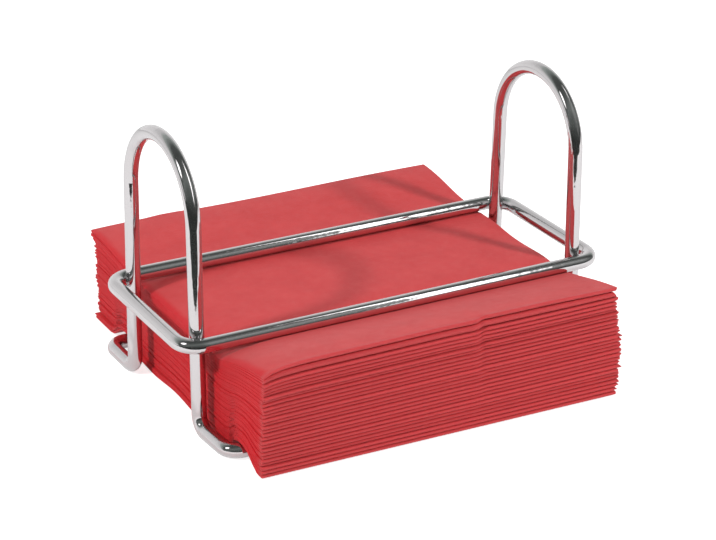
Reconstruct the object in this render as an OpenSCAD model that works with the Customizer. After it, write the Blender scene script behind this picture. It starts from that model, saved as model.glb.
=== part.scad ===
// Napkin holder: a bent wire stand with an arch at each end, a loose wire
// frame that slides down over both arches, and the stack of folded paper
// napkins that the frame presses down.
// Millimetres, Z up. The origin is the middle of the stand, on the table.

/* [Wire] */
// Diameter of the chromed steel wire
wire_d = 6; // [4:0.5:8]

/* [Stand] */
// Overall height of the stand, to the top of the arches
stand_h = 116.8; // [90:0.2:160]
// Radius of the arches, at the centre of the wire
arch_r = 28.4; // [22:0.2:36]
// Outward lean of each leg, in degrees
leg_splay = 1.2; // [0:0.1:3]
// Radius of the bend from a leg into its foot, at the centre of the wire
ankle_r = 6; // [4:0.5:10]
// Straight length of each foot between its two bends
foot_run = 13.5; // [6:0.5:24]
// Radius of the bend from a foot into its base rail, at the centre of the wire
toe_r = 6.5; // [4:0.5:10]

/* [Press frame] */
// Space between a leg and the end bar of the frame
end_play = 2; // [1:0.1:5]
// Space between a leg and the side rail of the frame where the legs are widest
side_play = 0.3; // [0.2:0.1:2]
// Radius of the frame's corners, at the centre of the wire
frame_corner_r = 9; // [6:0.5:9]
// Lean of the frame on the stack, up towards the back, in degrees
frame_tilt = 1.35; // [-1.5:0.05:1.5]

/* [Napkins] */
// Number of folded napkins in the stack
napkin_count = 28; // [12:1:34]
// Width of a folded napkin, along the holder
napkin_w = 160; // [120:1:200]
// Depth of a folded napkin, across the holder
napkin_l = 166; // [150:1:200]
// Thickness of one folded napkin, pressed under the frame
napkin_t = 1.34; // [1:0.02:1.6]
// Space between the napkins and the legs at each end
napkin_play = 4; // [3.4:0.1:6]
// Air between two napkins
sheet_gap = 0.1; // [0.06:0.02:0.2]
// Space between the top napkin and the frame that rests on it
press_gap = 0.3; // [0.2:0.05:0.6]
// Space between the lowest napkin and the rails, and above the table
base_gap = 0.3; // [0.2:0.05:0.6]
// Rise of the stack in front of the frame
front_rise = 5.6; // [0:0.2:9]
// Distance over which it rises there
front_rise_len = 37; // [20:1:40]
// Rise of the stack behind the frame
back_rise = 3.4; // [0:0.2:9]
// Distance over which it rises there
back_rise_len = 50; // [20:1:55]
// Rise of the stack between the two rails of the frame
middle_rise = 1; // [0:0.1:2]
// Distance over which it rises there
middle_rise_len = 18; // [10:1:28]
// Distance over which the stack drapes from a base rail down to its edge
drape_len = 13.5; // [8:0.5:16]
// Distance from the middle of the stand to the left to the middle of the stack
stack_left = 1; // [0:0.1:1.5]
// Distance from the middle of the stand back to the middle of the stack
stack_back = 6.4; // [0:0.1:12]
// Distance by which the top of the stack leans to the back
stack_lean = 2.4; // [0:0.1:6]
// Unevenness of the stack's edges
ragged = 0.3; // [0:0.05:0.6]
// Turn of the lowest napkin, in degrees
bottom_turn = -1.6; // [-1.8:0.1:1.8]
// Turn of the top napkin, in degrees
top_turn = -0.5; // [-1.8:0.1:1.8]

/* [Hidden] */
$fn = 40;
chrome_colour = [0.80, 0.81, 0.82];
napkin_colour = [0.80, 0.20, 0.22];

// Stand: each side leans out by leg_splay about the centre of the arch, so the
// stand rests on its four ankles and the rails lie a little above the table
wire_r = wire_d / 2;
arch_x = napkin_w / 2 + napkin_play + wire_r;
arch_z = stand_h - wire_r - arch_r;
leg_len = (arch_z + (arch_r + ankle_r) * sin(leg_splay) - ankle_r - wire_r) / cos(leg_splay);
leg_end_y = arch_r * cos(leg_splay) + leg_len * sin(leg_splay);
rail_out = arch_r + ankle_r + foot_run + toe_r;
rail_down = leg_len + ankle_r;
rail_y = rail_out * cos(leg_splay) + rail_down * sin(leg_splay);
rail_z = arch_z + rail_out * sin(leg_splay) - rail_down * cos(leg_splay);
rail_end_x = arch_x - toe_r;
crown_seam = 0.01;
crown_tie_share = 0.9;

// Press frame: it clears the legs down to where they bend, and rests on the stack
frame_x = arch_x + wire_d + end_play;
frame_y = leg_end_y + wire_d + side_play;
frame_z = base_gap + napkin_count * napkin_t + press_gap + wire_r;

// Napkins: how the stack drapes over the rails and rises beside the frame
hump_half = wire_r;
hump_height = rail_z + wire_r;
press_half = wire_r / 2;
inner_drape_share = 0.55;
inner_drape_len = inner_drape_share * (rail_y - hump_half - frame_y - press_half);
squeeze_share = 0.75;
slope_shares = [0.25, 0.5, 0.75, 1];
middle_shares = [0.5, 0.8, 1];
fold_step = 30;
jitter_turn = 137.5;

function napkin_name(k) = str("napkin_", k < 10 ? "0" : "", k);

// A smooth step: 0 below a share of 0, 1 above a share of 1
function ease(share) = (1 - cos(180 * min(1, max(0, share)))) / 2;

// Hump of the stack over each base rail, steep inwards and gentle outwards
function hump(y) =
    hump_height * (1 - ease((abs(abs(y) - rail_y) - hump_half)
        / (abs(y) < rail_y ? inner_drape_len : drape_len)));

// The hump dies away up the stack, as a power of the share of the height above.
// The power is 2, and less where the lowest napkins would be squeezed flat.
hump_power = max(1, min(2, squeeze_share * napkin_count * napkin_t / hump_height));

// Underside of the press frame, at a distance y from the middle
function frame_under(y) =
    frame_z + tan(frame_tilt) * min(frame_y, max(-frame_y, y)) - wire_r / cos(frame_tilt);

// Rise of the top face beside the frame's rails, and between them
function rise_beside(y) = y < 0
    ? front_rise * ease((-y - frame_y - press_half) / front_rise_len)
    : back_rise * ease((y - frame_y - press_half) / back_rise_len);
function rise_between(y) =
    middle_rise * ease((frame_y - press_half - abs(y)) / middle_rise_len);

// Top face of the stack: pressed under the rails of the frame
function top_z(y) =
    frame_under(y) - press_gap + (abs(y) > frame_y ? rise_beside(y) : rise_between(y));

// Height of the face between napkin k - 1 and napkin k
function layer_z(k, y) =
    let (share = (k - 1) / napkin_count)
    base_gap + (top_z(y) - base_gap) * share + hump(y) * pow(1 - share, hump_power);

// Places from the middle outwards where the faces change their slope
side_y = concat(
    [for (s = middle_shares) s * (frame_y - press_half)],
    [frame_y + press_half],
    [for (i = [len(slope_shares) - 1 : -1 : 0])
        rail_y - hump_half - slope_shares[i] * inner_drape_len],
    [rail_y - hump_half, rail_y + hump_half],
    [for (s = slope_shares) rail_y + hump_half + s * drape_len]
);
last = len(side_y) - 1;
stations = concat([for (i = [0 : last]) -side_y[last - i]], [0], side_y);

// Middle of napkin k across the depth, and its share of the way up the stack
function up_share(k) = (k - 1) / (napkin_count - 1);
function mid_y(k) =
    stack_back + stack_lean * (up_share(k) - 1 / 2) + ragged * cos(2 * jitter_turn * k);
function mid_x(k) = ragged * sin(jitter_turn * k) - stack_left;

// Straight wire from the origin along +Z
module wire_run(length) {
    cylinder(d = wire_d, h = length);
}

// Wire bent round the Z axis, from the angle 0 to the given one
module wire_bend(radius, angle) {
    rotate_extrude(angle = angle) translate([radius, 0]) circle(d = wire_d);
}

// One leg, its foot and half a base rail. It starts where the arch ends, at the
// origin, and runs down along -Y, outwards along +X and back along -Z.
module leg_to_rail() {
    rotate([90, 0, 0]) wire_run(leg_len);
    translate([ankle_r, -leg_len, 0]) rotate([0, 0, 180]) wire_bend(ankle_r, 90);
    translate([ankle_r, -rail_down, 0]) rotate([0, 90, 0]) wire_run(foot_run);
    translate([ankle_r + foot_run, -rail_down, -toe_r]) {
        rotate([90, 0, 0]) wire_bend(toe_r, 90);
        translate([toe_r, 0, 0]) rotate([180, 0, 0]) wire_run(rail_end_x);
    }
}

// One side of the arch, up to a hair short of its crown, with all that follows
module arch_side() {
    rotate([0, 0, leg_splay]) {
        wire_bend(arch_r, 90 - leg_splay - crown_seam);
        translate([arch_r, 0, 0]) leg_to_rail();
    }
}

// Half of the stand: one wire, bent into an arch with a leg and a foot on each
// side. A tie inside the wire spans the hairline seam at the crown. The two
// halves meet end to end in the middle of the base rails.
module half_stand() {
    translate([arch_x, 0, 0]) rotate([90, 0, 90]) translate([0, arch_z, 0]) {
        arch_side();
        mirror([1, 0, 0]) arch_side();
        translate([0, arch_r, 0]) rotate([0, 90, 0])
            cylinder(d = crown_tie_share * wire_d, h = wire_r, center = true);
    }
}

module stand_wire_right() {
    color(chrome_colour) half_stand();
}

module stand_wire_left() {
    color(chrome_colour) mirror([1, 0, 0]) half_stand();
}

// Quarter of the press frame: a corner with half of each straight beside it
module frame_quarter() {
    corner_x = frame_x - frame_corner_r;
    corner_y = frame_y - frame_corner_r;
    translate([corner_x, corner_y, 0]) wire_bend(frame_corner_r, 90);
    translate([0, frame_y, 0]) rotate([0, 90, 0]) wire_run(corner_x);
    translate([frame_x, 0, 0]) rotate([-90, 0, 0]) wire_run(corner_y);
}

module press_frame() {
    color(chrome_colour) translate([0, 0, frame_z]) rotate([frame_tilt, 0, 0])
        for (mx = [0, 1], my = [0, 1])
            mirror([mx, 0, 0]) mirror([0, my, 0]) frame_quarter();
}

// Section of napkin k across the depth, with its fold rounded at the front
module napkin_section(k) {
    front = mid_y(k) - napkin_l / 2;
    back = mid_y(k) + napkin_l / 2;
    low = layer_z(k, front) + sheet_gap / 2;
    high = layer_z(k + 1, front) - sheet_gap / 2;
    nose = (high - low) / 2;
    ys = concat(
        [front + nose],
        [for (y = stations) if (y > front + napkin_t && y < back - napkin_t) y],
        [back]
    );
    polygon(concat(
        [for (y = ys) [y, layer_z(k, y) + sheet_gap / 2]],
        [for (i = [len(ys) - 1 : -1 : 0]) [ys[i], layer_z(k + 1, ys[i]) - sheet_gap / 2]],
        [for (a = [90 - fold_step : -fold_step : fold_step - 90])
            [front + nose * (1 - cos(a)), low + nose * (1 + sin(a))]]
    ));
}

module napkin(k) {
    color(napkin_colour)
        rotate([0, 0, bottom_turn + (top_turn - bottom_turn) * up_share(k)])
            translate([mid_x(k) - napkin_w / 2, 0, 0])
                rotate([90, 0, 90]) linear_extrude(napkin_w) napkin_section(k);
}

stand_wire_left();
stand_wire_right();
press_frame();
for (k = [1 : napkin_count])
    napkin(k);
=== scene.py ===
# %% [markdown]
# A holder for paper napkins: two arches of bent chromed wire joined by rails under
# the stack, a loose wire frame that slides down over the arches, and a stack of
# red napkins folded in four that the frame presses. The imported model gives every
# piece its size and place, and this script gives each one its finish.

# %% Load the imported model
import math

import bpy
import numpy as np
from mathutils import Matrix, Vector


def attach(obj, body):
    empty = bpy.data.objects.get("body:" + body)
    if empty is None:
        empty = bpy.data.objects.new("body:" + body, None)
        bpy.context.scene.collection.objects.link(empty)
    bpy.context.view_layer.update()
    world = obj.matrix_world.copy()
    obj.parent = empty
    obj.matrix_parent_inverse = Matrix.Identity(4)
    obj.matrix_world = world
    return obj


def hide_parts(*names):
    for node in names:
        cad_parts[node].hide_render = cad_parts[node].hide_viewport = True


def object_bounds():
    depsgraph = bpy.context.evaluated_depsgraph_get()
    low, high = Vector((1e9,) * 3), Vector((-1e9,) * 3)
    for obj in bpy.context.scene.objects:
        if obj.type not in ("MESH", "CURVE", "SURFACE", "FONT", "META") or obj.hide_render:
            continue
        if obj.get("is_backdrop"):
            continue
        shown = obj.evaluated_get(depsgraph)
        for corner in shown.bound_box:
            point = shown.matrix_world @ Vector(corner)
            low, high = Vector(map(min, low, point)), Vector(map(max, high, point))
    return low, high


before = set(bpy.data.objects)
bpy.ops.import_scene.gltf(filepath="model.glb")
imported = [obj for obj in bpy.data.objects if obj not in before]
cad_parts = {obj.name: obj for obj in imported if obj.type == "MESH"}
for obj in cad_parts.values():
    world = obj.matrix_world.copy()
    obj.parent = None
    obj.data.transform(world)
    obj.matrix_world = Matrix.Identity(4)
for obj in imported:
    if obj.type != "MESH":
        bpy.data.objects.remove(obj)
cad_low, cad_high = (list(corner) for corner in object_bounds())
MM = 0.001
cad_size = [round((high - low) / MM, 1) for low, high in zip(cad_low, cad_high)]
print("size of the packed model, mm:", cad_size)

# %% [markdown]
# The camera is a long lens a little under a metre away, to the left of the front
# and 23 degrees above the table. A long lens keeps the far arch nearly as large as
# the near one. The camera looks along the line from its place to the aim point,
# and its roll is a small turn about that line.

# %% Camera
CAMERA_PLACE = Vector((-418.7, -731.7, 397.3)) * MM
CAMERA_AIM = Vector((7.8, 12.35, 34.45)) * MM
CAMERA_ROLL = math.radians(0.53)
LENS_MM = 111.8
SENSOR_MM = 36
NEAREST_SEEN = 0.05


def look(place, aim, roll=0.0):
    """The matrix of an object at place whose -Z axis points at aim, turned by roll."""
    turn = (aim - place).to_track_quat("-Z", "Y").to_matrix().to_4x4()
    return Matrix.Translation(place) @ turn @ Matrix.Rotation(roll, 4, "Z")


camera = bpy.data.objects.new("camera", bpy.data.cameras.new("camera"))
camera.data.lens = LENS_MM
camera.data.sensor_width = SENSOR_MM
camera.data.clip_start = NEAREST_SEEN
camera.matrix_world = look(CAMERA_PLACE, CAMERA_AIM, CAMERA_ROLL)
bpy.context.scene.collection.objects.link(camera)
bpy.context.scene.camera = camera
print("camera to the middle of the holder, mm:", round(CAMERA_PLACE.length / MM))

# %% [markdown]
# A node tree is easier to read when each node takes one line that also says what
# feeds it. So one helper adds a node and fills its inputs, each with a plain value
# or with another node's output, and three more stand for the nodes used most. A Mix
# node has sockets for numbers, vectors and colours, so the one for colours is fed by
# the numbers of its sockets.

# %% Helpers for node trees
MIX_SHARE, MIX_FIRST, MIX_SECOND, MIX_RESULT = 0, 6, 7, 2


def feed(tree, socket, source):
    """Feeds an input with the output of another node, or with a plain number or colour."""
    if isinstance(source, bpy.types.NodeSocket):
        tree.links.new(source, socket)
    else:
        socket.default_value = source


def add_node(tree, kind, *inputs, **settings):
    """Adds a node of that kind, and feeds its inputs in their order.

    A setting sets the node's property of that name, or else feeds the input of that name.
    """
    node = tree.nodes.new(kind)
    for name, value in settings.items():
        if hasattr(node, name):
            setattr(node, name, value)
        else:
            feed(tree, node.inputs[name.replace("_", " ")], value)
    for socket, source in zip(node.inputs, inputs):
        feed(tree, socket, source)
    return node


def calculate(tree, operation, *values):
    """The output of a Math node that works on those values."""
    return add_node(tree, "ShaderNodeMath", *values, operation=operation).outputs[0]


def mix_colours(tree, share, first, second):
    """The output of a Mix node for colours: first where share is 0, second where it is 1."""
    mix = add_node(tree, "ShaderNodeMix", data_type="RGBA")
    for number, source in [(MIX_SHARE, share), (MIX_FIRST, first), (MIX_SECOND, second)]:
        feed(tree, mix.inputs[number], source)
    return mix.outputs[MIX_RESULT]


def bumps(tree, height, strength, distance):
    """The normal that a Bump node makes of a height from 0 to 1, over a distance in metres."""
    node = add_node(tree, "ShaderNodeBump", Height=height, Strength=strength, Distance=distance)
    return node.outputs["Normal"]


def new_material(name):
    """A material and its empty node tree."""
    material = bpy.data.materials.new(name)
    material.use_nodes = True
    material.node_tree.nodes.clear()
    return material, material.node_tree


# %% [markdown]
# Every new surface here is a grid of points: a function of two parameters that
# numpy works out for all points at once. One helper turns such a grid into a mesh
# with a quad between each four neighbours.

# %% Helper for surfaces
def grid_mesh(name, points, uv=None):
    """A mesh object from points, an array of rows x columns x 3, with optional UVs alike."""
    rows, columns = points.shape[:2]
    index = np.arange(rows * columns).reshape(rows, columns)
    quads = np.stack([index[:-1, :-1], index[:-1, 1:], index[1:, 1:], index[1:, :-1]], axis=-1)
    quads = quads.reshape(-1, 4)
    mesh = bpy.data.meshes.new(name)
    mesh.from_pydata(points.reshape(-1, 3), [], quads.tolist())
    mesh.shade_smooth()
    if uv is not None:
        layer = mesh.uv_layers.new(name="UVMap")
        layer.uv.foreach_set("vector", uv.reshape(-1, 2)[quads.ravel()].ravel())
    piece = bpy.data.objects.new(name, mesh)
    bpy.context.scene.collection.objects.link(piece)
    return piece


# %% [markdown]
# The studio is a white table in front of a white backdrop that gets darker upwards.
# Polished metal has no look of its own: it shows what stands round it. So camera
# rays see plain white, reflections see the studio, and the light that falls on the
# paper comes from an even, milder world and two lamps. Light Path tells the kinds
# of ray apart.

# %% Which rays see the studio
bpy.context.scene.view_settings.view_transform = "Standard"
WHITE = (1, 1, 1, 1)


def seen_by_eye(tree):
    """An output that is 1 for camera, glossy and transmission rays, and 0 for the rest."""
    rays = add_node(tree, "ShaderNodeLightPath").outputs
    either = calculate(tree, "MAXIMUM", rays["Is Camera Ray"], rays["Is Glossy Ray"])
    return calculate(tree, "MAXIMUM", either, rays["Is Transmission Ray"])


# %% [markdown]
# A reflection's colour here depends mostly on one angle: how far its direction is
# tilted from the horizon behind the holder, over the top, towards the camera. The
# backdrop is white up to about 30 degrees, falls to dark grey at 70, and the
# camera's side of the room is dark with a touch of green. A colour ramp holds that
# scale. The room is lighter round the right lamp, which a power of a dot product
# adds.

# %% World: the studio that reflections see
ROOM_SCALE = [(0, 0.89), (22, 0.81), (40, 0.65), (53, 0.39), (64, 0.24), (76, 0.09),
              (92, 0.07), (110, 0.10), (129, 0.18), (147, 0.12), (168, 0.06), (180, 0.04)]
GREENISH_FROM, GREENISH_RED = 50, 0.89
LAMP_HAZE = 0.155
HAZE_TOWARDS = (0.527, -0.586, 0.616)
HAZE_NARROWNESS = 13.0

world = bpy.data.worlds.new("surround")
bpy.context.scene.world = world
world.use_nodes = True
tree = world.node_tree
tree.nodes.clear()

direction = add_node(tree, "ShaderNodeTexCoord").outputs["Generated"]
part = add_node(tree, "ShaderNodeSeparateXYZ", Vector=direction).outputs
tilt = calculate(tree, "ARCTAN2", calculate(tree, "ABSOLUTE", part["Z"]), part["Y"])
room = add_node(tree, "ShaderNodeValToRGB", Fac=calculate(tree, "DIVIDE", tilt, math.pi))
room.color_ramp.interpolation = "EASE"
marks = room.color_ramp.elements
while len(marks) < len(ROOM_SCALE):
    marks.new(0.5)
for mark, (degrees, level) in zip(marks, ROOM_SCALE):
    red_share = 1.0 if degrees < GREENISH_FROM else GREENISH_RED
    mark.position = degrees / 180
    mark.color = (level * red_share, level, level * (1 + red_share) / 2, 1)

towards_lamp = add_node(tree, "ShaderNodeVectorMath", direction, HAZE_TOWARDS, operation="DOT_PRODUCT")
ahead_of_it = calculate(tree, "MAXIMUM", towards_lamp.outputs["Value"], 0.0)
haze = calculate(tree, "MULTIPLY", calculate(tree, "POWER", ahead_of_it, HAZE_NARROWNESS), LAMP_HAZE)
lit_room = add_node(tree, "ShaderNodeVectorMath", room.outputs["Color"], haze, operation="ADD")
studio = add_node(tree, "ShaderNodeBackground", Color=lit_room.outputs[0], Strength=1.0)
print("marks on the ramp:", len(marks))

# %% [markdown]
# The light that falls on the paper is even and soft. A white studio sends most of it
# from its backdrop, and a little more from the right than from the left, so the
# level grows in a straight line along Y and X. Then the world's three faces are put
# together: white in view, the studio in reflections, and the soft light elsewhere.

# %% World: the light on the paper, and all of it together
FILL_LEVEL = 0.355
MORE_FROM_RIGHT = 0.25
MORE_FROM_BEHIND = 0.7

fill_level = calculate(tree, "MULTIPLY_ADD", part["X"], MORE_FROM_RIGHT * FILL_LEVEL, FILL_LEVEL)
fill_level = calculate(tree, "MULTIPLY_ADD", part["Y"], MORE_FROM_BEHIND * FILL_LEVEL, fill_level)
fill = add_node(tree, "ShaderNodeBackground", Color=WHITE, Strength=fill_level)
white = add_node(tree, "ShaderNodeBackground", Color=WHITE, Strength=1.0)
in_view = add_node(tree, "ShaderNodeLightPath").outputs["Is Camera Ray"]
to_eye = add_node(tree, "ShaderNodeMixShader", in_view, studio.outputs[0], white.outputs[0])
choice = add_node(tree, "ShaderNodeMixShader", seen_by_eye(tree), fill.outputs[0], to_eye.outputs[0])
add_node(tree, "ShaderNodeOutputWorld", Surface=choice.outputs[0])
print("soft light from the backdrop and from the front:",
      [round(FILL_LEVEL * (1 + y * MORE_FROM_BEHIND), 2) for y in (1, -1)])

# %% [markdown]
# The table is matt white. A little glow for the eye's rays alone lifts it to plain
# white in view, a bit less of it lights reflections, and the shadow on it stays.

# %% Table
TABLE_SIZE = 6.0
TABLE_GREY = 0.86
GLOW_FOR_EYE = 0.24
GLOW_IN_VIEW = 0.48

table_material, tree = new_material("white_table")
matt = add_node(tree, "ShaderNodeBsdfDiffuse", Color=(TABLE_GREY, TABLE_GREY, TABLE_GREY, 1))
in_view = add_node(tree, "ShaderNodeLightPath").outputs["Is Camera Ray"]
more_in_view = calculate(tree, "MULTIPLY", in_view, GLOW_IN_VIEW)
glow_level = calculate(tree, "MULTIPLY_ADD", seen_by_eye(tree), GLOW_FOR_EYE, more_in_view)
glow = add_node(tree, "ShaderNodeEmission", Color=WHITE, Strength=glow_level)
both = add_node(tree, "ShaderNodeAddShader", matt.outputs[0], glow.outputs[0])
add_node(tree, "ShaderNodeOutputMaterial", Surface=both.outputs[0])

side = np.array([-0.5, 0.5]) * TABLE_SIZE
ground = np.stack(np.meshgrid(side, side, indexing="ij") + [np.zeros((2, 2))], axis=-1)
table = grid_mesh("table", ground)
table.data.materials.append(table_material)
table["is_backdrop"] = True
print("table, m:", TABLE_SIZE, "square, with a glow in view of", round(GLOW_FOR_EYE + GLOW_IN_VIEW, 2))

# %% [markdown]
# Two small lamps light the holder, one from the left and one from the front right,
# both about 40 degrees up. They are small, so the arches throw soft but clear
# shadows across the top napkin. In the wire they show as a speck on each arch and
# as a line along the frame's rails. A bare lamp is so bright that its image in the
# wire has ragged edges, so the lamps are hidden from reflections, and a pale oval
# card in the plane of each, its soft box, is what the wire shows. It glows most in
# its middle and fades to its rim.

# %% Material of the soft boxes
CARD_GLOW = 3.0
GLOW_LOST_AT_RIM = 2.9
FADE_POWER = 3.0

soft_glow, tree = new_material("soft_box")
on_card = add_node(tree, "ShaderNodeTexCoord").outputs["UV"]
to_rim = add_node(tree, "ShaderNodeSeparateXYZ", Vector=on_card).outputs["X"]
faded = calculate(tree, "POWER", to_rim, FADE_POWER)
card_glow = calculate(tree, "MULTIPLY_ADD", faded, -GLOW_LOST_AT_RIM, CARD_GLOW)
card_light = add_node(tree, "ShaderNodeEmission", Color=WHITE, Strength=card_glow)
add_node(tree, "ShaderNodeOutputMaterial", Surface=card_light.outputs[0])


def reflection_only(card):
    """Hides a card from everything but reflections, and keeps it off the object."""
    card.visible_camera = False
    card.visible_diffuse = False
    card.visible_transmission = False
    card.visible_volume_scatter = False
    card.visible_shadow = False
    card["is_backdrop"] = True


def oval_card(name, place, width, height, aside, rise, rings=5, steps=32):
    """An oval card: from its middle, a share r of the way to the rim, at every angle t.

    In the lamp's own plane x = aside + width / 2 r cos t and y = rise + height / 2 r sin t.
    UV x is r.
    """
    r = np.linspace(0, 1, rings + 1)[:, None]
    t = np.linspace(0, 2 * math.pi, steps + 1)[None, :]
    flat = np.stack([aside + width / 2 * r * np.cos(t), rise + height / 2 * r * np.sin(t),
                     0 * r * t, 1 + 0 * r * t], axis=-1)
    points = (flat @ np.array(place).T)[..., :3]
    card = grid_mesh(name, points, np.stack([r + 0 * t, 0 * r * t], axis=-1))
    card.data.materials.append(soft_glow)
    reflection_only(card)


# %% [markdown]
# Each lamp is told by its direction: the azimuth runs from the front towards the
# right, and the elevation up from the table. The box of the right lamp is long and
# lies across the frame's rails, a little aside and above the lamp, so its image
# runs along the right half of each rail.

# %% Lamps
LAMP_DISTANCE = 1.3
LAMP_SIZE = 0.11
LAMP_AIM = Vector((0, 0, 0.03))


def lamp(name, azimuth, elevation, power, width, height, aside=0.0, rise=0.0, turn=0.0):
    """A square lamp of that power in watts, and its soft box, of that width and height.

    Azimuth, elevation and turn are in degrees, and the turn is about the line from the
    lamp to the holder.
    """
    a, e = math.radians(azimuth), math.radians(elevation)
    out = Vector((math.sin(a) * math.cos(e), -math.cos(a) * math.cos(e), math.sin(e)))
    light = bpy.data.lights.new(name, "AREA")
    light.size = LAMP_SIZE
    light.energy = power
    holder = bpy.data.objects.new(name, light)
    holder.matrix_world = look(LAMP_DISTANCE * out, LAMP_AIM, math.radians(turn))
    holder.visible_glossy = False
    bpy.context.scene.collection.objects.link(holder)
    oval_card(name + "_box", holder.matrix_world, width, height, aside, rise)
    print(name, "at, m:", [round(part, 2) for part in LAMP_DISTANCE * out])


lamp("lamp_left", azimuth=-83, elevation=41, power=6.5, width=0.4, height=0.6)
lamp("lamp_right", azimuth=33.4, elevation=38.2, power=7.3, width=0.15, height=1.9,
     aside=0.108, rise=0.262, turn=-23)

# %% [markdown]
# The white sheet under the holder ends a hand's width in front of it, and the dark
# floor of the room begins there. The camera sees none of it, but the legs do: it
# gives each the dark stripe that makes chrome look like chrome. A card that only
# reflections see stands for it.

# %% Dark floor in front
SHEET_REACH = 0.203
FLOOR_REACH = 4.5
FLOOR_HALF_WIDTH = 4.5
FLOOR_HEIGHT = 0.2 * MM
FLOOR_COLOUR = (0.85, 1.0, 0.92, 1)
FLOOR_GLOW = 0.036

floor_material, tree = new_material("dark_floor")
dim = add_node(tree, "ShaderNodeEmission", Color=FLOOR_COLOUR, Strength=FLOOR_GLOW)
add_node(tree, "ShaderNodeOutputMaterial", Surface=dim.outputs[0])

ahead = np.array((CAMERA_PLACE - CAMERA_AIM).to_2d().normalized())
beside = np.array([ahead[1], -ahead[0]])
reach = np.array([SHEET_REACH, FLOOR_REACH])[:, None, None]
spread = np.array([-FLOOR_HALF_WIDTH, FLOOR_HALF_WIDTH])[None, :, None]
flat = reach * ahead + spread * beside
floor = grid_mesh("dark_floor", np.concatenate([flat, np.full((2, 2, 1), FLOOR_HEIGHT)], axis=-1))
floor.data.materials.append(floor_material)
reflection_only(floor)
print("the floor begins at, mm:", round(SHEET_REACH / MM))

# %% [markdown]
# Both finishes here are uneven on a small scale: the polish of the wire has faint
# wipe marks, and the paper has soft clouds and a fine crepe. One node group gives
# all of these. It stretches the coordinates it is given, lays a noise over them and
# spreads the noise between a low and a high value.

# %% Node group for unevenness
UNEVENNESS_INPUTS = {
    "Coordinates": "NodeSocketVector",
    "Stretch": "NodeSocketVector",
    "Scale": "NodeSocketFloat",
    "Low": "NodeSocketFloat",
    "High": "NodeSocketFloat",
}
NOISE_DETAIL, NOISE_ROUGHNESS = 3.0, 0.6
NOISE_MOSTLY_OVER, NOISE_MOSTLY_UNDER = 0.3, 0.7


def make_unevenness():
    """A shader group: noise of a given size and stretch, spread from Low to High."""
    group = bpy.data.node_groups.new("unevenness", "ShaderNodeTree")
    for name, kind in UNEVENNESS_INPUTS.items():
        group.interface.new_socket(name, in_out="INPUT", socket_type=kind)
    group.interface.new_socket("Value", in_out="OUTPUT", socket_type="NodeSocketFloat")
    given = add_node(group, "NodeGroupInput").outputs
    stretched = add_node(group, "ShaderNodeVectorMath", given["Coordinates"], given["Stretch"],
                         operation="MULTIPLY")
    noise = add_node(group, "ShaderNodeTexNoise", Vector=stretched.outputs[0], Scale=given["Scale"],
                     Detail=NOISE_DETAIL, Roughness=NOISE_ROUGHNESS)
    spread_out = add_node(group, "ShaderNodeMapRange", Value=noise.outputs[0],
                          From_Min=NOISE_MOSTLY_OVER, From_Max=NOISE_MOSTLY_UNDER,
                          To_Min=given["Low"], To_Max=given["High"])
    add_node(group, "NodeGroupOutput", Value=spread_out.outputs["Result"])
    return group


UNEVENNESS = make_unevenness()


def unevenness(tree, coordinates, scale, low=0.0, high=1.0, stretch=(1, 1, 1)):
    """The output of the group, placed in a material on those coordinates."""
    placed = add_node(tree, "ShaderNodeGroup", node_tree=UNEVENNESS, Coordinates=coordinates,
                      Scale=scale, Low=low, High=high, Stretch=stretch)
    return placed.outputs["Value"]


print("inputs of the group:", ", ".join(UNEVENNESS_INPUTS))

# %% [markdown]
# Chrome plate is a metal that reflects two thirds or so of what falls on it. The
# wire under it was drawn and bent, so it isn't quite smooth: its surface has a long
# faint waviness that breaks the lamps' reflections into dashes, and wipe marks make
# it glossier in some places than in others. Hands leave a film on it, a rough coat
# here, which spreads a little light over the dark parts of the reflections.

# %% Chrome
CHROME_TINT = (0.70, 0.675, 0.684, 1)
WIPE_SCALE, CLEAN_ROUGHNESS, WIPED_ROUGHNESS = 160.0, 0.03, 0.07
WAVE_SCALE, WAVE_HEIGHT = 70.0, 0.00004
FILM_ROUGHNESS = 0.4

chrome, tree = new_material("chrome_wire")
on_wire = add_node(tree, "ShaderNodeTexCoord").outputs["Object"]
polish = unevenness(tree, on_wire, WIPE_SCALE, CLEAN_ROUGHNESS, WIPED_ROUGHNESS)
waviness = bumps(tree, unevenness(tree, on_wire, WAVE_SCALE), strength=1.0, distance=WAVE_HEIGHT)
metal = add_node(tree, "ShaderNodeBsdfPrincipled", Base_Color=CHROME_TINT, Metallic=1.0,
                 Coat_Weight=1.0, Coat_Roughness=FILM_ROUGHNESS, Roughness=polish, Normal=waviness)
add_node(tree, "ShaderNodeOutputMaterial", Surface=metal.outputs[0])

wires = [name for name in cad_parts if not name.startswith("napkin")]
for name in wires:
    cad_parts[name].data.materials.clear()
    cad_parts[name].data.materials.append(chrome)
print("chromed:", ", ".join(wires))
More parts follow.
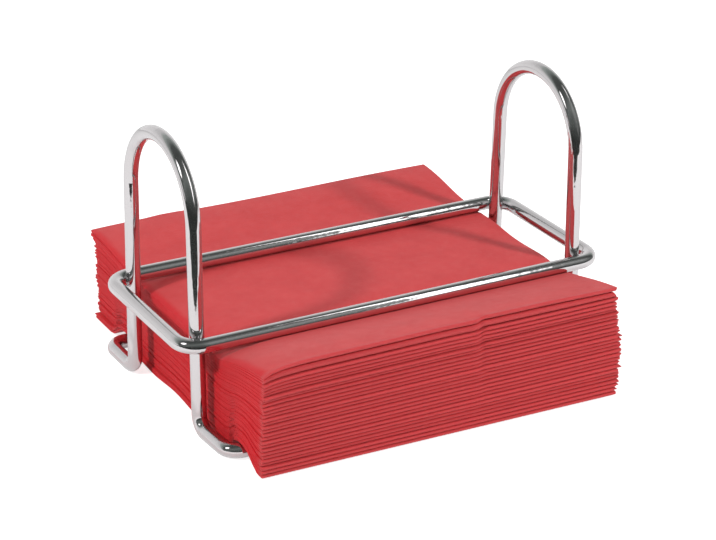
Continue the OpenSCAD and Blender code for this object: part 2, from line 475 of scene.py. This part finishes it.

# %% [markdown]
# Napkin tissue is matt and soft. Its dye is a little cloudy, the paper machine
# leaves a fine crepe across the sheet, and loose fibres catch light at a low angle,
# which is what sheen is for. All of it follows the sheet round its folds, so it
# reads the sheet's own UV map, which runs from 0 to 1 across the open sheet, with
# both folds at 0.5.
#
# The folds differ in tone, and that tone is painted light. At the first fold only one
# ply turns, so its narrow loops stand close. A deeper red painted there stands for the
# light that bounces between them: painted shade. The second fold is a wide turn of two
# plies and more, where the stretched tissue catches light, and a paler red painted there
# is a painted sheen. Each fold's painted tone fades into the sheet's dye on both sides
# of it.

# %% Dye of the paper, and painted light and shade at its folds
PAPER_DYE = (0.700, 0.048, 0.052, 1)
PAPER_PALE = (0.760, 0.062, 0.066, 1)
CLOUD_SCALE = 26.0
# Painted tones: X is a deeper red at the first fold (painted shade), Y a paler red at the second fold
# (painted sheen).
FOLD_PAINTED_TONES = {"X": (0.735, 0.015, 0.024, 1), "Y": (0.690, 0.062, 0.068, 1)}
FOLD_MIDDLE = 0.5
FOLD_CORE, FOLD_RIM = 0.004, 0.010

paper, tree = new_material("red_paper")
on_sheet = add_node(tree, "ShaderNodeTexCoord").outputs["UV"]
dye_and_painted_folds = mix_colours(tree, unevenness(tree, on_sheet, CLOUD_SCALE), PAPER_DYE, PAPER_PALE)
place_on_sheet = add_node(tree, "ShaderNodeSeparateXYZ", Vector=on_sheet).outputs
# Each fold's painted shade or sheen is mixed over the dye near its fold line.
for axis, fold_painted_tone in FOLD_PAINTED_TONES.items():
    from_fold = calculate(tree, "SUBTRACT", place_on_sheet[axis], FOLD_MIDDLE)
    on_fold = add_node(tree, "ShaderNodeMapRange", Value=calculate(tree, "ABSOLUTE", from_fold),
                       From_Min=FOLD_CORE, From_Max=FOLD_RIM, To_Min=1.0, To_Max=0.0)
    dye_and_painted_folds = mix_colours(tree, on_fold.outputs["Result"], dye_and_painted_folds, fold_painted_tone)
# The count holds the two dyes and the two painted fold tones.
print("dyes of the paper:", 2 + len(FOLD_PAINTED_TONES))

# %% [markdown]
# The crepe is a noise that is stretched across the sheet, used as a bump of a tenth
# of a millimetre. The gloss of the tissue varies a little more slowly than that.

# %% Surface of the paper
CREPE_SCALE, CREPE_STRETCH = 260.0, (1, 2.6, 1)
CREPE_STRENGTH, CREPE_HEIGHT = 0.6, 0.00012
GLOSS_SCALE, PRESSED_ROUGHNESS, LOOSE_ROUGHNESS = 90.0, 0.56, 0.70
FIBRE_SHEEN, SHEEN_ROUGHNESS = 0.10, 0.5
SPECULAR_LEVEL = 0.54

crepe = bumps(tree, unevenness(tree, on_sheet, CREPE_SCALE, stretch=CREPE_STRETCH),
              CREPE_STRENGTH, CREPE_HEIGHT)
gloss = unevenness(tree, on_sheet, GLOSS_SCALE, PRESSED_ROUGHNESS, LOOSE_ROUGHNESS)
tissue = add_node(tree, "ShaderNodeBsdfPrincipled", Base_Color=dye_and_painted_folds, Roughness=gloss, Normal=crepe,
                  Sheen_Weight=FIBRE_SHEEN, Sheen_Roughness=SHEEN_ROUGHNESS,
                  Specular_IOR_Level=SPECULAR_LEVEL)
add_node(tree, "ShaderNodeOutputMaterial", Surface=tissue.outputs[0])
print("height of the crepe, mm:", round(CREPE_HEIGHT / MM, 2))

# %% [markdown]
# Each napkin is one square-cut sheet of paper, folded in half and in half again. The
# first fold lies at the left and the second at the front, so the left side of the
# stack shows two small loops for each napkin, the front shows one round fold, and
# the right and the back show four loose edges. A real sheet is one surface, so it
# is made as one: a grid over the flat sheet is bent round both folds, and the two
# halves of each straight stretch lie a ply apart. All lengths from here on are in
# millimetres.

# %% The way round a fold
napkin_names = sorted(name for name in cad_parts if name.startswith("napkin"))
NAPKIN_COUNT = len(napkin_names)
NAPKIN_WIDTH = 160.0
NAPKIN_DEPTH = 166.0
CLOSE_TO_START = np.array([0.6, 1.5, 3])
CLOSE_TO_END = np.array([2, 0.6, 0.2])


def stations(low, high, spacing, extra):
    """Places from low to high about spacing apart, closer at both ends, with extra ones."""
    count = int(round((high - low) / spacing))
    even = np.linspace(low, high, count + 1)
    return np.unique(np.concatenate([even, low + CLOSE_TO_START, high - CLOSE_TO_END, extra]))


def fold_path(straight, steps):
    """The way along a sheet round one fold: in along one half, round the fold, out again.

    It gives three arrays: the distance from the fold, the side (1 above, -1 below, and
    the sine of the angle on the fold), and the cosine of that angle, 0 off the fold.
    """
    angle = np.linspace(math.pi / 2, -math.pi / 2, steps + 2)[1:-1]
    away = np.concatenate([straight[::-1], np.zeros(steps), straight])
    side = np.concatenate([np.ones(len(straight)), np.sin(angle), -np.ones(len(straight))])
    round_it = np.concatenate([0 * straight, np.cos(angle), 0 * straight])
    return away, side, round_it


print("napkins:", NAPKIN_COUNT)

# %% [markdown]
# The grid is closer where the sheet bends: at the folds, beside the frame's rails,
# and at the crease that runs down the front of the upper napkins.
#
# A fold is half an ellipse. Its nose is how far it reaches out past the straight
# stretch. On the second fold the outer pair of plies takes the wide way round and
# the inner pair the narrow one. The four plies lie at 3/8 and 1/8 of a napkin's
# thickness above and below its middle, pressed together a little.

# %% The folded sheet
CREASE_X = 96.0
BESIDE_CREASE = np.array([-9, -5, -3, -1.5, 0, 1.5, 3, 5])
BESIDE_RAILS = np.concatenate([np.arange(36.5, 45, 0.8), np.arange(109, 117.5, 0.8)])
ACROSS_SPACING, ALONG_SPACING = 8.0, 4.0
LEFT_NOSE, LEFT_STEPS = 0.4, 5
FRONT_NOSE, FRONT_STEPS = 0.75, 7
OUTER_PLY, INNER_PLY = 3 / 8, 1 / 8
PRESSED_SHARE = 0.92

across = stations(LEFT_NOSE, NAPKIN_WIDTH, ACROSS_SPACING, CREASE_X + BESIDE_CREASE)
along = stations(FRONT_NOSE, NAPKIN_DEPTH, ALONG_SPACING, BESIDE_RAILS)
x_away, x_side, x_round = (a[None, :] for a in fold_path(across, LEFT_STEPS))
y_away, y_side, y_round = (a[:, None] for a in fold_path(along, FRONT_STEPS))

sheet_x = np.where(x_round > 0, LEFT_NOSE * (1 - x_round), x_away) + 0 * y_away
ply = (OUTER_PLY + INNER_PLY) / 2 + (OUTER_PLY - INNER_PLY) / 2 * x_side
nose = FRONT_NOSE * (1 - ply / OUTER_PLY * y_round)
sheet_y = np.where(y_round > 0, nose, y_away) + 0 * x_away
sheet_layer = ply * y_side * PRESSED_SHARE
sheet_uv = np.stack([
    FOLD_MIDDLE - 0.5 * x_side * np.maximum(x_away, LEFT_NOSE) / NAPKIN_WIDTH + 0 * y_away,
    FOLD_MIDDLE - 0.5 * y_side * np.maximum(y_away, FRONT_NOSE) / NAPKIN_DEPTH + 0 * x_away,
], axis=-1)
print("points of one napkin:", sheet_x.size)

# %% [markdown]
# The stack isn't a block. It lies over the two base rails and the press frame
# bites into its top, so each layer has its own wavy height. The height of a layer
# blends from the table at the bottom to the pressed top face, and the lift of the
# rails dies away on the way up.

# %% How the stack is pressed
RAIL_Y, RAIL_TOP = 56.1, 6.42
DRAPE_INWARDS, DRAPE_OUTWARDS = 8.4, 13.5
WIRE_RADIUS = 3.0
PRESSED_HALF = WIRE_RADIUS / 2
FRAME_Y, FRAME_Z, FRAME_LEAN = 36.31, 41.12, math.radians(1.35)
BASE_GAP = 0.3
PRESS_GAP = 0.3
FRONT_RISE, FRONT_RISE_OVER = 5.6, 38
BACK_RISE, BACK_RISE_OVER = 3.4, 50
BETWEEN_RISE, BETWEEN_RISE_OVER = 1.0, 18


def ease(share):
    """A smooth step, half of one minus the cosine, from 0 at a share of 0 to 1 at 1."""
    return (1 - np.cos(np.pi * np.clip(share, 0, 1))) / 2


def rail_lift(y):
    """How far a base rail lifts the lowest napkin: steep inwards, gentle outwards."""
    off = np.abs(np.abs(y) - RAIL_Y) - WIRE_RADIUS
    return RAIL_TOP * (1 - ease(off / np.where(np.abs(y) < RAIL_Y, DRAPE_INWARDS, DRAPE_OUTWARDS)))


def in_front(y):
    """The share of the rise in front of the frame: half a straight line, half a sine.

    It is steep at the frame's rail and gentler further out.
    """
    share = np.clip((-y - FRAME_Y - PRESSED_HALF) / FRONT_RISE_OVER, 0, 1)
    return 0.5 * share + 0.5 * np.sin(np.pi / 2 * share)


def top_face(y):
    """The top face: pressed under the frame's rails, and it rises away from them."""
    lean = math.tan(FRAME_LEAN) * np.clip(y, -FRAME_Y, FRAME_Y)
    held = FRAME_Z + lean - WIRE_RADIUS - PRESS_GAP
    front = FRONT_RISE * in_front(y)
    back = BACK_RISE * ease((y - FRAME_Y - PRESSED_HALF) / BACK_RISE_OVER)
    between = BETWEEN_RISE * ease((FRAME_Y - PRESSED_HALF - np.abs(y)) / BETWEEN_RISE_OVER)
    return held + np.where(np.abs(y) < FRAME_Y, between, front + back)


def pressed_height(share, y):
    """The height at a share of the way up the stack: table, rails and top face blended."""
    rails = rail_lift(y) * np.clip(1 - share, 0, 1) ** 2
    return BASE_GAP + (top_face(y) - BASE_GAP) * share + rails


print("top face in front, under the rails and at the back, mm:",
      [round(float(top_face(y)), 1) for y in (-75, FRAME_Y, 90)])

# %% [markdown]
# Folded tissue springs open where nothing holds it. In front of the frame the folds
# swell, the top two most of all, and behind it the loose edges stand up a little and
# curl at one place. Paper banks up on both sides of each of the frame's rails. Each
# of these is a small height that is added to the pressed one, and a power of the
# share of the way up says how deep into the stack it reaches.

# %% Where the paper springs up
SWELL_LAYERS = [0, 20, 26, 27, 28]
SWELL_HEIGHTS = [0, 1.4, 1.5, 3.2, 3.7]
STEADY_SWELL = 1.5
CALM_X, CALM_OVER, CALM_SHARE = 40, 35, 0.35
LIFT_LEFT, LIFT_MORE_RIGHT, LIFT_X, LIFT_OVER = 0.7, 1.3, -20, 90
CURL, CURL_X, CURL_WIDTH = 0.7, -43, 8
BANK_BETWEEN, BANK_OUTSIDE = 0.6, 1.5


def front_swell(layer, x, y):
    """The folds in front of the frame, read off a list of heights. They calm to the right."""
    swell = np.interp(layer, SWELL_LAYERS, SWELL_HEIGHTS)
    extra = np.clip(swell - STEADY_SWELL, 0, None)
    return (swell - CALM_SHARE * extra * ease((x - CALM_X) / CALM_OVER)) * in_front(y)


def back_lift(x, y, share):
    """The loose edges at the back: a smooth step to the right, and a bell where they curl."""
    to_right = ease((x - LIFT_X) / LIFT_OVER)
    curl = np.exp(-((x - CURL_X) / CURL_WIDTH) ** 2)
    to_back = ease((y - FRAME_Y - 4) / 45)
    return (LIFT_LEFT + LIFT_MORE_RIGHT * to_right + CURL * curl) * to_back * share ** 8


def rail_bank(y, from_left, share):
    """The paper beside the frame's rails: a quick smooth step that then dies away."""
    off_rail = np.abs(np.abs(y) - FRAME_Y)
    bank = np.where(np.abs(y) < FRAME_Y, BANK_BETWEEN, BANK_OUTSIDE) * ease(from_left / 25)
    quick_step = ease((off_rail - 0.5) / 2.4)
    dying_away = np.exp(-off_rail / 10)
    return bank * quick_step * dying_away * share ** 18


# %% [markdown]
# Elsewhere the stack gives way. Its left edge droops, most of all at the front, and
# ripples a little in the lower half. Its right edge sags between the legs of the
# arch.

# %% Where the paper gives way
DROOP, DROOP_MORE_FORWARD, DROOP_MORE_AT_CORNER = 1.0, 2.0, 1.0
DROOP_REACH, REACH_MORE_AT_BACK, REACH_LESS_AT_FRONT = 6, 6, 1
RIPPLE_LENGTH, RIPPLE_START, RIPPLE_UPWARDS = 7.5, 1.0, 0.45
RIPPLE_LOW, RIPPLE_MIDDLE = 0.7, 0.25
SAG, SAG_X, SAG_OVER, SAG_Y, SAG_HALF = 1.4, 66, 18, 4, 28


def left_droop(y, from_left, share):
    """The left edge: a droop that grows to the front and dies away to the right.

    Half of it goes deep into the stack and half stays in the top napkins.
    """
    forward, at_corner = ease((60 - y) / 40), ease((-y - 50) / 26)
    at_back, at_front = ease((y - 20) / 50), ease((-y - 40) / 30)
    droop = DROOP + DROOP_MORE_FORWARD * forward + DROOP_MORE_AT_CORNER * at_corner
    reach = DROOP_REACH + REACH_MORE_AT_BACK * at_back - REACH_LESS_AT_FRONT * at_front
    return droop * np.exp(-from_left / reach) * (0.5 * share ** 3 + 0.5 * share ** 30)


def left_ripple(y, from_left, share):
    """Ripples of the left edge: a sine along the edge that dies away to the right.

    The sine is raised a little, so that no ripple of the lowest napkin dips under the table.
    """
    along_edge = np.sin(y / RIPPLE_LENGTH + RIPPLE_START) + RIPPLE_UPWARDS
    ripple = along_edge * ease((45 - np.abs(y - 5)) / 25) * np.exp(-from_left / 10)
    return ripple * (RIPPLE_LOW * (1 - share) ** 2 + RIPPLE_MIDDLE * share * (1 - share))


def right_sag(x, y, share):
    """The sag of the right edge: a smooth step towards it, and one on each side along it."""
    along_edge = ease(1 - np.abs(y - SAG_Y) / SAG_HALF)
    return SAG * ease((x - SAG_X) / SAG_OVER) * along_edge * share ** 3


def layer_height(layer, x, y, from_left):
    """Height of a layer, counted from 0 at the table to the number of napkins at the top."""
    share = layer / NAPKIN_COUNT
    z = pressed_height(share, y)
    z += front_swell(layer, x, y)
    z += back_lift(x, y, share)
    z += rail_bank(y, from_left, share)
    z -= left_droop(y, from_left, share)
    z += left_ripple(y, from_left, share)
    z -= right_sag(x, y, share)
    return z


# %% [markdown]
# Nobody squares up a stack of napkins. The corners of the lowest and of the top
# napkin are read off their places, those between follow, and each napkin slips a
# little from its neighbours. Halfway up, the front right corners stand out a little,
# and all but the lowest two and the top three are set in at the back left corner.
# Inside a napkin the plies slip too, so the loose edges don't line up.

# %% How each napkin lies
CORNERS_LOW = np.array([[(-83.0, -75.5), (75.5, -80.0)], [(-78.3, 90.4), (80.2, 85.9)]])
CORNERS_TOP = np.array([[(-82.5, -76.5), (76.0, -75.8)], [(-79.3, 90.1), (84.0, 87.5)]])
RIGHT_BULGE, BULGE_SPEED = 2.2, 1.15
LEFT_INSET, INSET_OVER, INSET_UNDER = 1.4, 0.05, 0.9
CORNER_SLIP, NAPKIN_SLIP, MOST_SLIP = 0.25, 0.3, 0.5
PLY_SLIP, MOST_PLY_SLIP = 0.003, 0.006
slips = np.random.default_rng(7)


def slip_by(spread, most, shape):
    """Random slips in an array of that shape: normal round 0, and none past most."""
    return np.clip(slips.normal(0, spread, shape), -most, most)


def corners_of(order):
    """The corners of napkin number order: front then back, in each the left then the right."""
    up = (order - 1) / (NAPKIN_COUNT - 1)
    slip = slip_by(CORNER_SLIP, MOST_SLIP, (2, 2, 2)) + slip_by(NAPKIN_SLIP, MOST_SLIP, 2)
    corners = CORNERS_LOW * (1 - up) + CORNERS_TOP * up + slip * (order < NAPKIN_COUNT)
    corners[0, 1, 0] += RIGHT_BULGE * math.sin(math.pi * min(1, BULGE_SPEED * up))
    if INSET_OVER < up < INSET_UNDER:
        corners[1, 0, 0] += LEFT_INSET
    return corners


def loosened(share, loose):
    """Stretches the share of the way across a napkin by a hair, in its own way for each ply."""
    return share * (1 + (loose[0] * x_side + loose[1] * y_side + loose[2] * x_side * y_side))


def laid_between(corners, u, v):
    """The place between four corners, a share u of the way right and v of the way back."""
    u, v = u[..., None], v[..., None]
    return (corners[0, 0] * (1 - u) * (1 - v) + corners[0, 1] * u * (1 - v)
            + corners[1, 0] * (1 - u) * v + corners[1, 1] * u * v)


print("the top napkin lies further back at its front right corner by, mm:",
      round(CORNERS_TOP[0, 1, 1] - CORNERS_LOW[0, 1, 1], 1))

# %% [markdown]
# The upper napkins have a crease across their front fold, right of the middle: a
# narrow notch that goes in, with a small step up to its right and a shallow dip to
# its left. It dies away from the front edge and down the stack.

# %% The crease
NOTCH_DEPTH, NOTCH_WIDTH = 0.8, 1.8
STEP_FAR, STEP_NEAR, STEP_SETTLES = 0.4, 0.5, 20
DIP, DIP_PLACE, DIP_WIDTH = 0.25, -5, 5
CREASE_REACH = 9
past_crease = sheet_x - CREASE_X


def crease_strength(up):
    """The crease dies away from the front edge, and with the share up of the way up."""
    return np.exp(-sheet_y / CREASE_REACH) * up ** 1.5


notch = NOTCH_DEPTH * np.exp(-(past_crease / NOTCH_WIDTH) ** 2)
settling = STEP_FAR + STEP_NEAR * np.exp(-np.clip(past_crease, 0, None) / STEP_SETTLES)
dip = DIP * np.exp(-((past_crease - DIP_PLACE) / DIP_WIDTH) ** 2)
crease_lift = settling * ease((past_crease + 1) / 3) - dip
print("the crease lifts the edge by up to, mm:", round(float(crease_lift.max()), 2))

# %% [markdown]
# Now every napkin is laid: its sheet between its corners, each point at the height
# of its layer, with the crease added. Solidify gives the sheet the thickness of
# tissue on both sides of that surface.

# %% The napkins
PAPER_THICK = 0.26


def napkin_points(order):
    """Points of napkin number order, in metres: the folded sheet laid between its four corners."""
    corners = corners_of(order)
    loose_x, loose_y = slip_by(PLY_SLIP, MOST_PLY_SLIP, (2, 3))
    u = loosened(sheet_x / NAPKIN_WIDTH, loose_x)
    v = loosened(sheet_y / NAPKIN_DEPTH, loose_y)
    plan = laid_between(corners, u, v)
    crease = crease_strength((order - 1) / (NAPKIN_COUNT - 1))
    x, y = plan[..., 0], plan[..., 1] + notch * crease
    z = layer_height(order - 0.5 + sheet_layer, x, y, sheet_x) + crease_lift * crease
    return np.stack([x, y, z], axis=-1) * MM


for order, name in enumerate(napkin_names, 1):
    napkin = grid_mesh("folded_" + name, napkin_points(order), sheet_uv)
    wall = napkin.modifiers.new("paper", "SOLIDIFY")
    wall.thickness = PAPER_THICK * MM
    wall.offset = 0.0
    napkin.data.materials.append(paper)
    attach(napkin, "stand")
    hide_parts(name)
print("napkins laid:", NAPKIN_COUNT)
